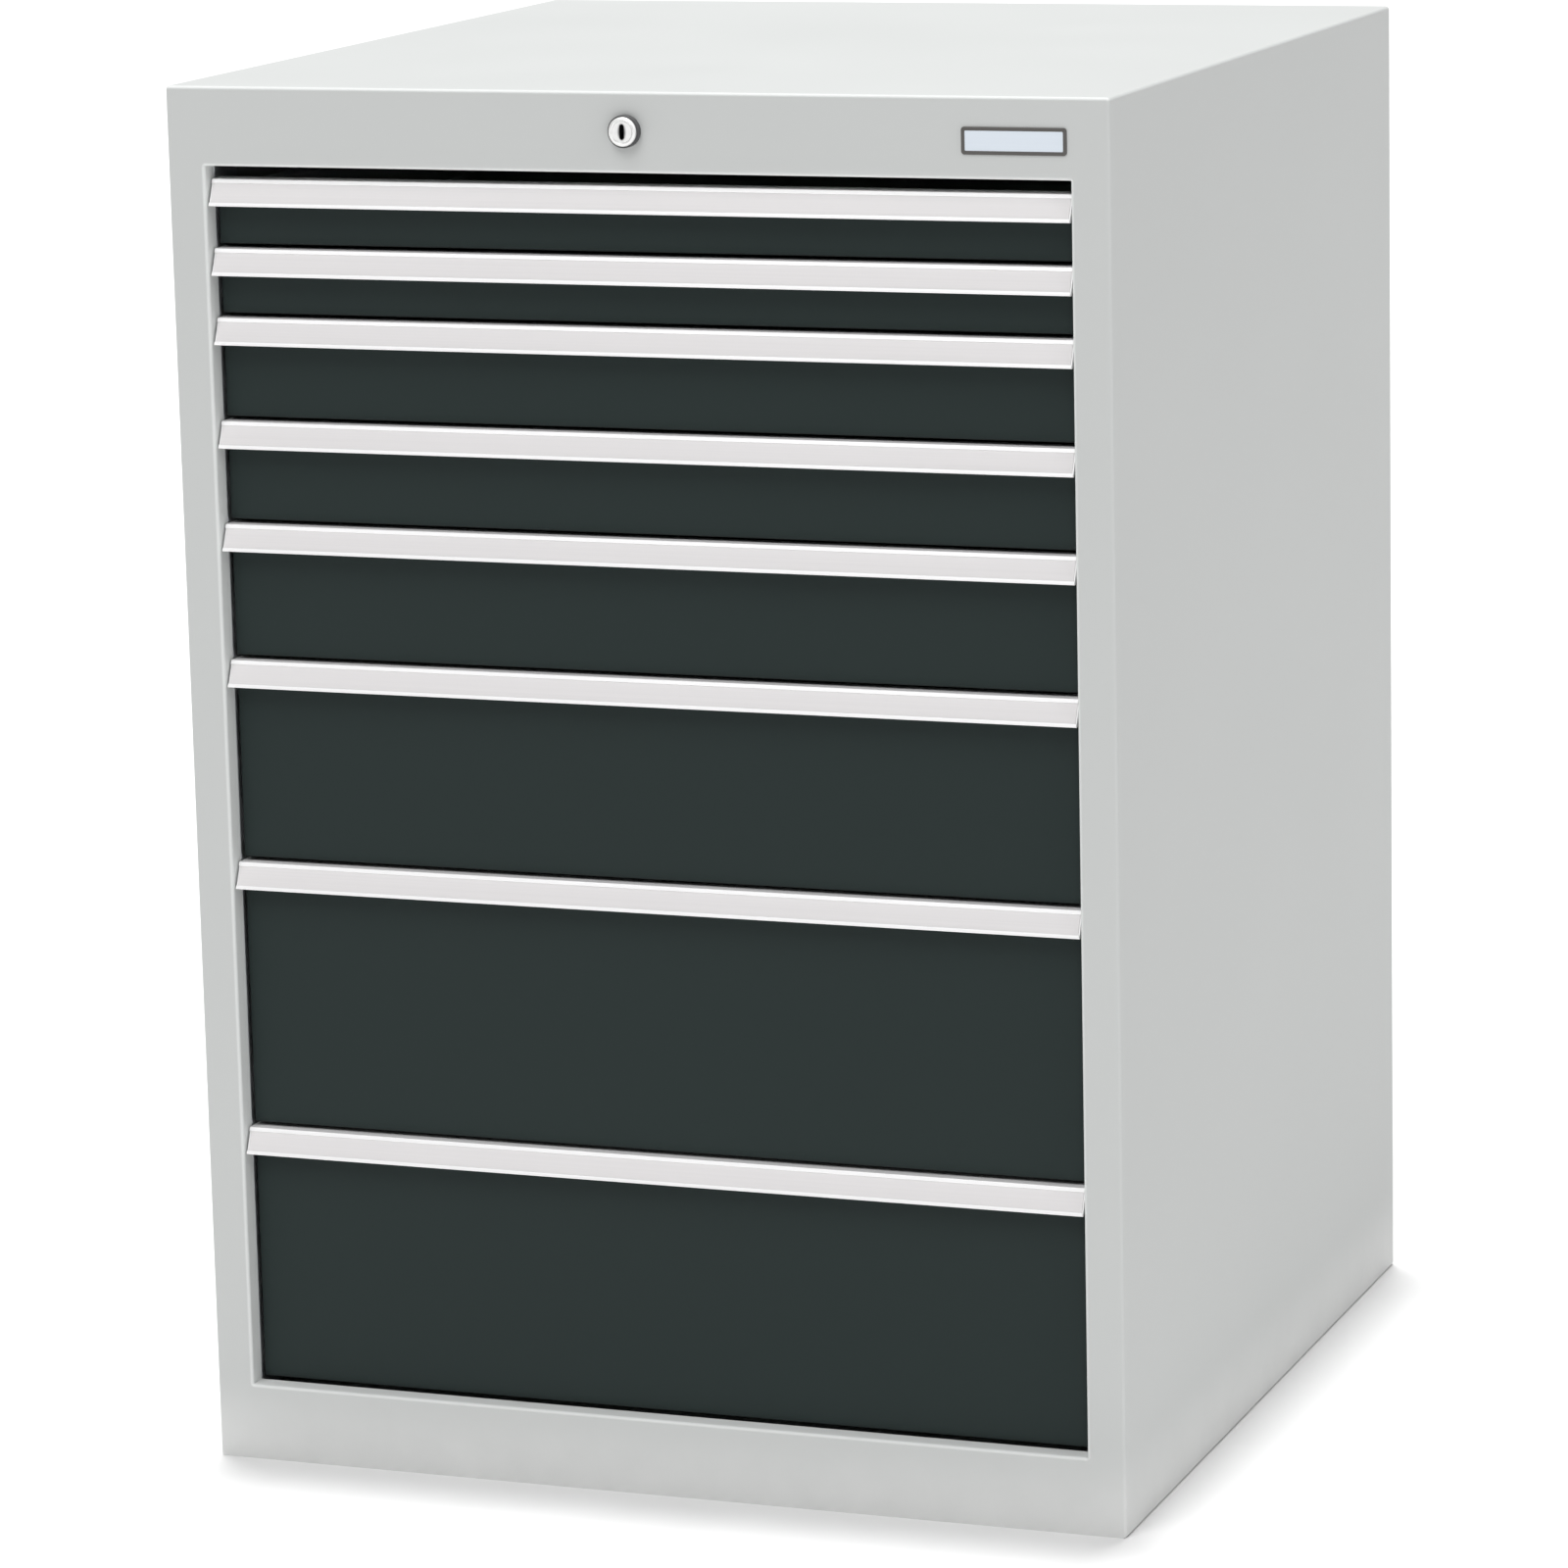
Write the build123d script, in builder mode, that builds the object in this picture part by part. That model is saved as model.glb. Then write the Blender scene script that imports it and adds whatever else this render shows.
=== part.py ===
"""Workshop drawer cabinet with eight drawers on telescopic slides and a central lock.

All sizes are millimetres. The origin is the middle of the footprint, on the floor. +Z is up, the front
faces -Y, and +X is to the right of someone who stands in front of the cabinet.
"""
import os
from math import cos, radians, sin

from build123d import *

# Housing
cabinet_width = 705.0
cabinet_depth = 736.0
housing_sheet = 1.5
fold_radius = 2.5
jamb_width = 28.5
frame_return = 15.0
fascia_height = 57.0
plinth_height = 57.0
welding_flange = 20.0
foot_flange = 25.0
floor_pan_height = 42.0
top_edge_radius = 1.2

# Drawer stack: one step of the height grid, and the steps of each drawer from the top one down
height_step = 25.0
drawer_steps = [2, 2, 3, 3, 4, 6, 8, 8]
stack_base = 52.0
stack_top_gap = 10.0

# Drawer fronts
front_sheet = 1.5
front_recess = 15.0
front_side_gap = 3.0
front_bottom_gap = 3.0
front_depth = 12.0
front_inner_flange = 36.0
front_edge_radius = 1.0

# Handle strips
handle_height = 19.0
handle_side_gap = 1.5
handle_bottom_recess = 1.0
handle_top_recess = 9.0
handle_wall = 2.0
label_lip_height = 3.0
label_lip_depth = 1.0
handle_nose_radius = 0.8

# Drawer trays
tray_sheet = 1.2
tray_depth = 602.4
tray_floor_offset = 8.0
tray_top_offset = 6.0
slide_space = 22.8

# Telescopic slides
rail_sheet = 1.5
rail_gap = 0.3
rail_height = 32.0
rail_length = 600.0
rail_front_gap = 3.0
rail_bottom_offset = 2.0
rail_lip_setback = 3.0
rail_fold_radius = 2.0

# Slotted uprights
upright_width = 40.0
upright_sheet = 1.5
upright_front_gap = 1.0
slot_pitch = 25.0
slot_width = 12.0
slot_height = 5.0
slot_margin = 30.0

# Central lock, front end
lock_x = 0.0
lock_drop = 27.5
rosette_radius = 11.5
rosette_thickness = 8.0
rosette_dome_radius = 3.0
lock_body_radius = 9.5
lock_body_length = 24.0
lock_hole_gap = 0.2
lock_nut_radius = 14.0
lock_nut_thickness = 4.0
lock_nut_gap = 0.1
cylinder_radius = 7.5
cylinder_inset = 0.6
running_gap = 0.06
keyway_width = 3.5
keyway_height = 11.0
keyway_depth = 8.0

# Central lock, spindle and crank
spindle_radius = 4.0
bearing_sheet = 3.0
bearing_width = 30.0
bearing_flange = 25.0
bearing_drop_below = 12.0
bearing_to_crank = 6.0
crank_hub_radius = 8.0
crank_hub_length = 10.0
hub_bore_gap = 0.05
crank_arm_thickness = 4.0
crank_arm_width = 12.0
crank_pin_radius = 3.0
crank_angle = 45.0
crank_bar_gap = 1.0
pin_end_margin = 1.5

# Lock bar, its hooks and the latch tabs on the trays
lock_stroke = 12.0
bar_width = 30.0
bar_thickness = 3.0
bar_tab_gap = 2.0
bar_top_margin = 10.0
bar_bottom_margin = 5.0
slot_play = 0.45
slot_end_play = 1.0
tab_sheet = 2.0
tab_width = 24.0
tab_rise = 4.0
tab_plate_height = 12.0
tab_notch = 8.0
hook_sheet = 3.0
hook_width = 16.0
hook_lift_gap = 2.0
hook_arm_gap = 4.0

# Guides of the lock bar
guide_gap = 0.3
guide_sheet = 2.0
guide_height = 18.0
guide_flange = 20.0
guide_pin_gap = 1.0
upper_guide_drop = 17.0
lower_guide_rise = 108.0

# Name plate
plate_width = 75.5
plate_height = 19.0
plate_thickness = 1.0
plate_edge_gap = 2.2
plate_border = 2.0
plate_field_depth = 0.3
plate_drop = 30.5

# Heights and depths worked out from the sizes above
stack_top = stack_base + height_step * sum(drawer_steps)
cabinet_height = stack_top + stack_top_gap + fascia_height
front_y = (rosette_thickness - cabinet_depth) / 2
back_y = front_y + cabinet_depth
half_width = cabinet_width / 2
half_opening = half_width - jamb_width
inner_half_width = half_width - housing_sheet
back_half_width = half_width - fold_radius
top_underside = cabinet_height - housing_sheet
flange_underside = top_underside - housing_sheet
fascia_bottom = cabinet_height - fascia_height

front_face_y = front_y + front_recess
front_back_y = front_face_y + front_depth
tray_back_y = front_back_y + tray_depth
tray_half_width = half_opening - slide_space

rail_front_y = front_back_y + rail_front_gap
rail_middle_height = rail_height - 2 * (rail_sheet + rail_gap)
rail_inner_height = rail_middle_height - 2 * (rail_sheet + rail_gap)

lock_z = cabinet_height - lock_drop
crank_radius = lock_stroke / 2 / sin(radians(crank_angle))
crank_pin_x = lock_x + crank_radius * cos(radians(crank_angle))
crank_pin_z = lock_z + lock_stroke / 2
bar_front_y = tray_back_y + tab_notch + tab_sheet + bar_tab_gap
bar_back_y = bar_front_y + bar_thickness
bar_x = crank_pin_x
hook_y = tray_back_y + (tab_notch - hook_sheet) / 2
crank_back_y = bar_front_y - crank_bar_gap
crank_front_y = crank_back_y - crank_arm_thickness - crank_hub_length
bearing_y = crank_front_y - bearing_to_crank

os.makedirs("parts", exist_ok=True)


def save(piece, name):
    """Label a finished piece and write it as the STEP file of its node."""
    piece.label = name
    export_step(piece, f"parts/{name}.step")


def drawer_levels():
    """Return (number, bottom, top) of each drawer's share of the stack, from the top drawer down."""
    levels = []
    top = stack_top
    for number, steps in enumerate(drawer_steps, start=1):
        bottom = top - steps * height_step
        levels.append((number, bottom, top))
        top = bottom
    return levels


def folded_sheet(points, thickness, radius, side):
    """Return the section of a folded sheet: a line with rounded folds, thickened to one side."""
    with BuildSketch() as section:
        with BuildLine():
            FilletPolyline(*points, radius=radius)
            offset(amount=thickness, side=side)
        make_face()
    return section.sketch


def box_between(low, high, mode=Mode.ADD):
    """Add or cut a box from its low corner to its high corner."""
    size = [top - bottom for bottom, top in zip(low, high)]
    with Locations(low):
        Box(*size, align=Align.MIN, mode=mode)


# Housing: the right side panel, with jamb, frame return, rear flange, top flange and foot flange
with BuildPart() as right_side_panel:
    with BuildSketch():
        add(folded_sheet(
            [
                (half_opening, front_y + frame_return),
                (half_opening, front_y),
                (half_width, front_y),
                (half_width, back_y),
                (half_width - welding_flange, back_y),
            ],
            housing_sheet, fold_radius, Side.LEFT,
        ))
    extrude(amount=top_underside)
    box_between(
        (inner_half_width - welding_flange, front_y + frame_return, flange_underside),
        (inner_half_width, back_y - 2 * housing_sheet, top_underside),
    )
    box_between(
        (inner_half_width - foot_flange, front_y + frame_return, 0),
        (inner_half_width, back_y - 2 * housing_sheet, housing_sheet),
    )
save(right_side_panel.part, "right_side_panel")

# Housing: the left side panel is the mirror image
with BuildPart() as left_side_panel:
    mirror(right_side_panel.part, about=Plane.YZ)
save(left_side_panel.part, "left_side_panel")

# Housing: the top panel, a flat sheet with rounded upper edges
with BuildPart() as top_panel:
    box_between((-half_width, front_y, top_underside), (half_width, back_y, cabinet_height))
    fillet(top_panel.edges().filter_by(Axis.Z), radius=fold_radius)
    fillet(top_panel.faces().sort_by(Axis.Z)[-1].edges(), radius=top_edge_radius)
save(top_panel.part, "top_panel")

# Housing: the back panel, behind the rear flanges of the sides
with BuildPart() as back_panel:
    box_between(
        (-back_half_width, back_y - 2 * housing_sheet, 0),
        (back_half_width, back_y - housing_sheet, top_underside),
    )
save(back_panel.part, "back_panel")

# Housing: the fascia over the drawers, with the hole for the lock
with BuildPart() as lock_fascia:
    with BuildSketch(Plane.YZ.offset(-half_opening)):
        add(folded_sheet(
            [
                (front_y + frame_return, fascia_bottom),
                (front_y, fascia_bottom),
                (front_y, top_underside),
                (front_y + welding_flange, top_underside),
            ],
            housing_sheet, fold_radius, Side.RIGHT,
        ))
    extrude(amount=2 * half_opening)
    with BuildSketch(Plane.XZ.offset(-front_y - housing_sheet)):
        with Locations((lock_x, lock_z)):
            Circle(lock_body_radius + lock_hole_gap)
    extrude(amount=housing_sheet, mode=Mode.SUBTRACT)
save(lock_fascia.part, "lock_fascia")

# Housing: the plinth front under the drawers
with BuildPart() as plinth:
    with BuildSketch(Plane.YZ.offset(-half_opening)):
        add(folded_sheet(
            [
                (front_y + frame_return, 0),
                (front_y, 0),
                (front_y, plinth_height),
                (front_y + frame_return, plinth_height),
            ],
            housing_sheet, fold_radius, Side.RIGHT,
        ))
    extrude(amount=2 * half_opening)
save(plinth.part, "plinth")

# Housing: the floor pan, a sheet with side flanges that stand on the foot flanges
with BuildPart() as floor_pan:
    with BuildSketch(Plane.XZ.offset(-front_y - frame_return)):
        add(folded_sheet(
            [
                (-inner_half_width, housing_sheet),
                (-inner_half_width, floor_pan_height),
                (inner_half_width, floor_pan_height),
                (inner_half_width, housing_sheet),
            ],
            housing_sheet, fold_radius, Side.RIGHT,
        ))
    extrude(amount=-(cabinet_depth - frame_return - 2 * housing_sheet))
save(floor_pan.part, "floor_pan")


def upright_pair(side):
    """Make the front and the rear slotted upright of one side; side is 1 on the right, -1 on the left."""
    starts = [front_y + frame_return + upright_front_gap, rail_front_y + rail_length - upright_width]
    slot_count = int((flange_underside - floor_pan_height - 2 * slot_margin) / slot_pitch)
    with BuildPart() as pair:
        for start in starts:
            with BuildSketch(Plane.XY.offset(floor_pan_height)):
                add(folded_sheet(
                    [
                        (inner_half_width, start),
                        (half_opening, start),
                        (half_opening, start + upright_width),
                        (inner_half_width, start + upright_width),
                    ],
                    upright_sheet, fold_radius, Side.RIGHT,
                ))
            extrude(amount=flange_underside - floor_pan_height)
            web = Plane.YZ.offset(half_opening)
            with BuildSketch(web):
                with Locations((start + upright_width / 2, (flange_underside + floor_pan_height) / 2)):
                    with GridLocations(0, slot_pitch, 1, slot_count):
                        Rectangle(slot_width, slot_height)
            extrude(amount=upright_sheet, mode=Mode.SUBTRACT)
    if side > 0:
        return pair.part
    return mirror(pair.part, about=Plane.YZ)


save(upright_pair(1), "right_uprights")
save(upright_pair(-1), "left_uprights")


def rail(web_x, lip_x, height, level):
    """Make one folded C rail on the right side, from its web to its lips, centred on a level."""
    if lip_x < web_x:
        inner_side = Side.LEFT
    else:
        inner_side = Side.RIGHT
    with BuildPart() as member:
        with BuildSketch(Plane.XZ.offset(-rail_front_y)):
            add(folded_sheet(
                [
                    (lip_x, level - height / 2),
                    (web_x, level - height / 2),
                    (web_x, level + height / 2),
                    (lip_x, level + height / 2),
                ],
                rail_sheet, rail_fold_radius, inner_side,
            ))
        extrude(amount=-rail_length)
    return member.part


def rail_level(bottom):
    """Return the height of a slide's middle above the floor, from the bottom of its drawer's share."""
    return bottom + tray_floor_offset + rail_bottom_offset + rail_height / 2


def cabinet_rail(bottom):
    """Make the right cabinet rail of one drawer, which hangs on the uprights."""
    lip_x = tray_half_width + rail_lip_setback
    return rail(half_opening, lip_x, rail_height, rail_level(bottom))


def middle_rail(bottom):
    """Make the right middle rail of one drawer, inside the cabinet rail."""
    lip_x = tray_half_width + rail_lip_setback
    web_x = half_opening - rail_sheet - rail_gap
    return rail(web_x, lip_x, rail_middle_height, rail_level(bottom))


def drawer_rail(bottom):
    """Make the right drawer rail, on the tray's side wall and inside the middle rail."""
    lip_x = half_opening - 2 * (rail_sheet + rail_gap)
    return rail(tray_half_width, lip_x, rail_inner_height, rail_level(bottom))


# Slides: the fixed cabinet rails, one node a side
with BuildPart() as right_cabinet_rails:
    for number, bottom, top in drawer_levels():
        add(cabinet_rail(bottom))
save(right_cabinet_rails.part, "right_cabinet_rails")

with BuildPart() as left_cabinet_rails:
    mirror(right_cabinet_rails.part, about=Plane.YZ)
save(left_cabinet_rails.part, "left_cabinet_rails")


def rail_pair(right_rail):
    """Put a right rail and its mirror image into one piece of two solids."""
    with BuildPart() as pair:
        add(right_rail)
        mirror(right_rail, about=Plane.YZ)
    return pair.part


def tray(bottom, top):
    """Make a drawer's tray: a floor, four walls and the latch tab on the back wall."""
    floor = bottom + tray_floor_offset
    rim = top - tray_top_offset
    tab_level = floor + tab_rise
    with BuildPart() as body:
        box_between((-tray_half_width, front_back_y, floor), (tray_half_width, tray_back_y, rim))
        box_between(
            (-tray_half_width + tray_sheet, front_back_y + tray_sheet, floor + tray_sheet),
            (tray_half_width - tray_sheet, tray_back_y - tray_sheet, rim),
            mode=Mode.SUBTRACT,
        )
        with BuildSketch(Plane.YZ.offset(bar_x - tab_width / 2)):
            add(folded_sheet(
                [
                    (tray_back_y, tab_level),
                    (tray_back_y + tab_notch + tab_sheet, tab_level),
                    (tray_back_y + tab_notch + tab_sheet, tab_level + tab_sheet + tab_plate_height),
                ],
                tab_sheet, fold_radius, Side.LEFT,
            ))
        extrude(amount=tab_width)
    return body.part


def front_panel(bottom, top):
    """Make a drawer front: a shallow pan, open at the back between its two inner flanges."""
    half_front = half_opening - front_side_gap
    low = max(bottom, plinth_height) + front_bottom_gap
    high = top - handle_wall
    with BuildPart() as pan:
        box_between((-half_front, front_face_y, low), (half_front, front_back_y, high))
        fillet(pan.faces().sort_by(Axis.Y)[0].edges(), radius=front_edge_radius)
        box_between(
            (-half_front + front_sheet, front_face_y + front_sheet, low + front_sheet),
            (half_front - front_sheet, front_back_y - front_sheet, high - front_sheet),
            mode=Mode.SUBTRACT,
        )
        box_between(
            (-half_front + front_inner_flange, front_back_y - front_sheet, low + front_sheet),
            (half_front - front_inner_flange, front_back_y, high - front_sheet),
            mode=Mode.SUBTRACT,
        )
    return pan.part


def handle_strip(top):
    """Make a handle strip: a slanted plate with a label channel and a flange over the front's top edge.

    Points on the plate are given along its slanted face, from the lower edge, and inwards from it.
    """
    foot = Vector(front_y + handle_bottom_recess, top - handle_height)
    head = Vector(front_y + handle_top_recess, top)
    up = (head - foot).normalized()
    inward = Vector(up.Y, -up.X)
    length = (head - foot).length
    thickness = label_lip_depth + handle_wall
    foot_rise = -thickness * inward.Y / up.Y
    corner_rise = foot_rise + (handle_height - handle_wall) / up.Y

    def on_plate(along, depth):
        """Return the point so far along the plate's face and so deep behind it."""
        return foot + up * along + inward * depth

    outline = [
        on_plate(0, 0),
        on_plate(label_lip_height, 0),
        on_plate(label_lip_height, label_lip_depth),
        on_plate(length - label_lip_height, label_lip_depth),
        on_plate(length - label_lip_height, 0),
        head,
        (front_back_y, top),
        (front_back_y, top - handle_wall),
        on_plate(corner_rise, thickness),
        on_plate(foot_rise, thickness),
    ]
    half_strip = half_opening - handle_side_gap
    with BuildPart() as strip:
        with BuildSketch(Plane.YZ.offset(-half_strip)) as section:
            with BuildLine():
                Polyline(*outline, close=True)
            make_face()
            nose = [
                section.vertices().sort_by_distance(corner)[0]
                for corner in (outline[0], outline[-1], head)
            ]
            fillet(nose, radius=handle_nose_radius)
        extrude(amount=2 * half_strip)
    return strip.part


# Drawers and their middle rails, one set of nodes for each drawer
for number, bottom, top in drawer_levels():
    save(tray(bottom, top), f"drawer_{number}_tray")
    save(front_panel(bottom, top), f"drawer_{number}_front")
    save(handle_strip(top), f"drawer_{number}_handle")
    save(rail_pair(drawer_rail(bottom)), f"drawer_{number}_rails")
    save(rail_pair(middle_rail(bottom)), f"runner_{number}_middle_rails")


def face_plane(depth):
    """Return the upright plane that lies so far along Y, with X to the right and Z up."""
    return Plane.XZ.offset(-depth)


# Lock: the housing, a domed rosette on the fascia and a threaded body behind it
with BuildPart() as lock_housing:
    with BuildSketch(face_plane(front_y - rosette_thickness)):
        with Locations((lock_x, lock_z)):
            Circle(rosette_radius)
    extrude(amount=-rosette_thickness)
    fillet(lock_housing.faces().sort_by(Axis.Y)[0].edges(), radius=rosette_dome_radius)
    with BuildSketch(face_plane(front_y)):
        with Locations((lock_x, lock_z)):
            Circle(lock_body_radius)
    extrude(amount=-lock_body_length)
    with BuildSketch(face_plane(front_y - rosette_thickness)):
        with Locations((lock_x, lock_z)):
            Circle(cylinder_radius + running_gap)
    extrude(amount=-(rosette_thickness + lock_body_length), mode=Mode.SUBTRACT)
save(lock_housing.part, "lock_housing")

# Lock: the nut that clamps the housing from behind
with BuildPart() as lock_nut:
    with BuildSketch(face_plane(front_y + housing_sheet)):
        with Locations((lock_x, lock_z)):
            RegularPolygon(radius=lock_nut_radius, side_count=6)
            Circle(lock_body_radius + lock_nut_gap, mode=Mode.SUBTRACT)
    extrude(amount=-lock_nut_thickness)
save(lock_nut.part, "lock_nut")

# Lock: the cylinder with its keyway, upright while the drawers are free
with BuildPart() as lock_cylinder:
    with BuildSketch(face_plane(front_y - rosette_thickness + cylinder_inset)):
        with Locations((lock_x, lock_z)):
            Circle(cylinder_radius)
    extrude(amount=-(rosette_thickness - cylinder_inset + lock_body_length))
    with BuildSketch(face_plane(front_y - rosette_thickness + cylinder_inset)):
        with Locations((lock_x, lock_z)):
            SlotOverall(keyway_height, keyway_width, rotation=90)
    extrude(amount=-keyway_depth, mode=Mode.SUBTRACT)
save(lock_cylinder.part, "lock_cylinder")

# Lock: the spindle, from the cylinder over the top drawer to the crank
with BuildPart() as lock_spindle:
    with BuildSketch(face_plane(front_y + lock_body_length)):
        with Locations((lock_x, lock_z)):
            Circle(spindle_radius)
    extrude(amount=-(crank_front_y + crank_hub_length - front_y - lock_body_length))
save(lock_spindle.part, "lock_spindle")

# Lock: the bracket under the top panel that carries the spindle's rear end
with BuildPart() as spindle_bearing:
    with BuildSketch(Plane.YZ.offset(lock_x - bearing_width / 2)):
        add(folded_sheet(
            [
                (bearing_y, lock_z - bearing_drop_below),
                (bearing_y, top_underside),
                (bearing_y - bearing_flange, top_underside),
            ],
            bearing_sheet, fold_radius + bearing_sheet - housing_sheet, Side.LEFT,
        ))
    extrude(amount=bearing_width)
    with BuildSketch(face_plane(bearing_y)):
        with Locations((lock_x, lock_z)):
            Circle(spindle_radius + running_gap)
    extrude(amount=bearing_sheet, mode=Mode.SUBTRACT)
save(spindle_bearing.part, "spindle_bearing")

# Lock: the crank, a hub on the spindle with an arm and a pin
with BuildPart() as lock_crank:
    with BuildSketch(face_plane(crank_front_y)):
        with Locations((lock_x, lock_z)):
            Circle(crank_hub_radius)
            Circle(spindle_radius + hub_bore_gap, mode=Mode.SUBTRACT)
    extrude(amount=-crank_hub_length)
    with BuildSketch(face_plane(crank_front_y + crank_hub_length)):
        with Locations(((lock_x + crank_pin_x) / 2, (lock_z + crank_pin_z) / 2)):
            SlotCenterToCenter(crank_radius, crank_arm_width, rotation=crank_angle)
        with Locations((lock_x, lock_z)):
            Circle(crank_hub_radius)
    extrude(amount=-crank_arm_thickness)
    with BuildSketch(face_plane(crank_back_y)):
        with Locations((crank_pin_x, crank_pin_z)):
            Circle(crank_pin_radius)
    extrude(amount=-(bar_back_y + pin_end_margin - crank_back_y))
save(lock_crank.part, "lock_crank")


def tab_top(bottom):
    """Return the height of the upper edge of the latch tab on a drawer's tray."""
    return bottom + tray_floor_offset + tab_rise + tab_sheet + tab_plate_height


# Lock: the bar in its raised place, with a slot for the crank pin and a hook over every latch tab
lowest_level = drawer_levels()[-1][1]
bar_bottom = tab_top(lowest_level) + hook_lift_gap - bar_bottom_margin
bar_top = crank_pin_z + crank_pin_radius + slot_play + bar_top_margin
slot_start = crank_pin_x - crank_pin_radius - slot_end_play
slot_end = lock_x + crank_radius + crank_pin_radius + slot_end_play
with BuildPart() as lock_bar:
    box_between(
        (bar_x - bar_width / 2, bar_front_y, bar_bottom),
        (bar_x + bar_width / 2, bar_back_y, bar_top),
    )
    box_between(
        (slot_start, bar_front_y, crank_pin_z - crank_pin_radius - slot_play),
        (slot_end, bar_back_y, crank_pin_z + crank_pin_radius + slot_play),
        mode=Mode.SUBTRACT,
    )
    for number, bottom, top in drawer_levels():
        tooth_end = tab_top(bottom) + hook_lift_gap
        arm_top = tab_top(bottom) + lock_stroke + hook_arm_gap + hook_sheet
        with BuildSketch(Plane.YZ.offset(bar_x - hook_width / 2)):
            add(folded_sheet(
                [(bar_front_y, arm_top), (hook_y, arm_top), (hook_y, tooth_end)],
                hook_sheet, fold_radius + hook_sheet - housing_sheet, Side.LEFT,
            ))
        extrude(amount=hook_width)
save(lock_bar.part, "lock_bar")

# Lock: the two guides of the bar, on brackets that hang from the top panel and stand on the floor pan
guide_front = bar_front_y - guide_gap
guide_back = bar_back_y + guide_gap
guide_half = bar_width / 2 + guide_gap
bracket_half = guide_half + guide_sheet
bracket_back = bar_back_y + pin_end_margin + guide_pin_gap + guide_sheet
upper_guide_top = lock_z - upper_guide_drop
lower_guide_bottom = floor_pan_height + lower_guide_rise


def guide(bottom, seat, side):
    """Make a guide with its hole for the bar, on a folded bracket that runs on to the height of its seat."""
    far_end = bottom
    if seat < bottom:
        far_end = bottom + guide_height
    with BuildPart() as bracket:
        with BuildSketch(Plane.YZ.offset(bar_x - bracket_half)):
            add(folded_sheet(
                [(bracket_back, far_end), (bracket_back, seat), (bracket_back - guide_flange, seat)],
                guide_sheet, fold_radius, side,
            ))
        extrude(amount=2 * bracket_half)
        box_between(
            (bar_x - bracket_half, guide_front - guide_sheet, bottom),
            (bar_x + bracket_half, bracket_back, bottom + guide_height),
        )
        box_between(
            (bar_x - guide_half, guide_front, bottom),
            (bar_x + guide_half, guide_back, bottom + guide_height),
            mode=Mode.SUBTRACT,
        )
    return bracket.part


with BuildPart() as lock_bar_guides:
    add(guide(upper_guide_top - guide_height, top_underside, Side.LEFT))
    add(guide(lower_guide_bottom, floor_pan_height, Side.RIGHT))
save(lock_bar_guides.part, "lock_bar_guides")

# Name plate: a blank plate with a raised border
plate_right = half_opening - plate_edge_gap
plate_left = plate_right - plate_width
plate_low = cabinet_height - plate_drop - plate_height / 2
plate_high = plate_low + plate_height
plate_face = front_y - plate_thickness
with BuildPart() as name_plate:
    box_between((plate_left, plate_face, plate_low), (plate_right, front_y, plate_high))
    box_between(
        (plate_left + plate_border, plate_face, plate_low + plate_border),
        (plate_right - plate_border, plate_face + plate_field_depth, plate_high - plate_border),
        mode=Mode.SUBTRACT,
    )
save(name_plate.part, "name_plate")
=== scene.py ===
# %% [markdown]
# # A workshop drawer cabinet in a bright studio
#
# The cabinet is a light grey welded box of sheet steel with eight anthracite drawers. Each drawer
# carries a slanted aluminium strip that is handle and label holder in one. The solids of the
# cabinet come from its CAD model, and this lesson gives them their finish.
#
# Solids whose shape is already right, such as the drawer fronts and the slides, keep it and only
# get a material. Where the real thing has more to show, such as rounded folds without a seam, a
# rolled edge or a row of slots, a new surface is worked out with numpy and takes the place of the
# plain solid.

# %% Load the cabinet
from math import cos, pi, radians, sin

import bpy
import numpy as np
from mathutils import Matrix, Vector


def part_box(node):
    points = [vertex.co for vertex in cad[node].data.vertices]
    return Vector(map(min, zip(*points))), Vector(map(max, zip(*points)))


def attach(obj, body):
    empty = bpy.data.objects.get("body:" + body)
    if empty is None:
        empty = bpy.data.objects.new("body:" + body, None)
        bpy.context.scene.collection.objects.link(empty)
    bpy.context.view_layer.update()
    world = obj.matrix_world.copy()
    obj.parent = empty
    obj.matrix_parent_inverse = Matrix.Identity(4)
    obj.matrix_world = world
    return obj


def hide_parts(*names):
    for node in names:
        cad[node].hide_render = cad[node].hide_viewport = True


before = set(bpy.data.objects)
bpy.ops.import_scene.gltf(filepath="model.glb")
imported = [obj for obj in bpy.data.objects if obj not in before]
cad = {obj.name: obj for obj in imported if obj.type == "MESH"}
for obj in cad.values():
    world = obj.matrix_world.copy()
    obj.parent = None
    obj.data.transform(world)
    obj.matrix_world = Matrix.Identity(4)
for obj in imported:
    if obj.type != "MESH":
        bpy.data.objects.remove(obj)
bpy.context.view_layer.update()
drawers = range(1, 9)

# %% [markdown]
# ## The camera
#
# The photograph was taken from the right and a little above, with a long lens, so that the
# cabinet's edges hardly converge. A camera could be placed by eye, but thirteen corners of the
# cabinet fix it much better: the lens, the place and the three angles below are the ones that lay
# those corners nearest to their places in the picture. Yaw turns the camera to the left, pitch
# tilts it up and roll leans it, so a camera that looks down has a pitch below zero.

# %% Camera
lens, sensor = 147.19, 36.0
camera_place = (1.6476, -4.5094, 1.438)
yaw, pitch, roll = radians(20.391), radians(-11.563), radians(-1.29)


def camera_axes(yaw, pitch, roll):
    """Return right, up and back of a camera. Forward is +Y turned by yaw and tilted by pitch;
    right is level, up is square to both, and roll turns right and up about forward."""
    forward = Vector((-sin(yaw) * cos(pitch), cos(yaw) * cos(pitch), sin(pitch)))
    level = Vector((cos(yaw), sin(yaw), 0.0))
    upright = level.cross(forward)
    right = level * cos(roll) + upright * sin(roll)
    up = upright * cos(roll) - level * sin(roll)
    return right, up, -forward


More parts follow.
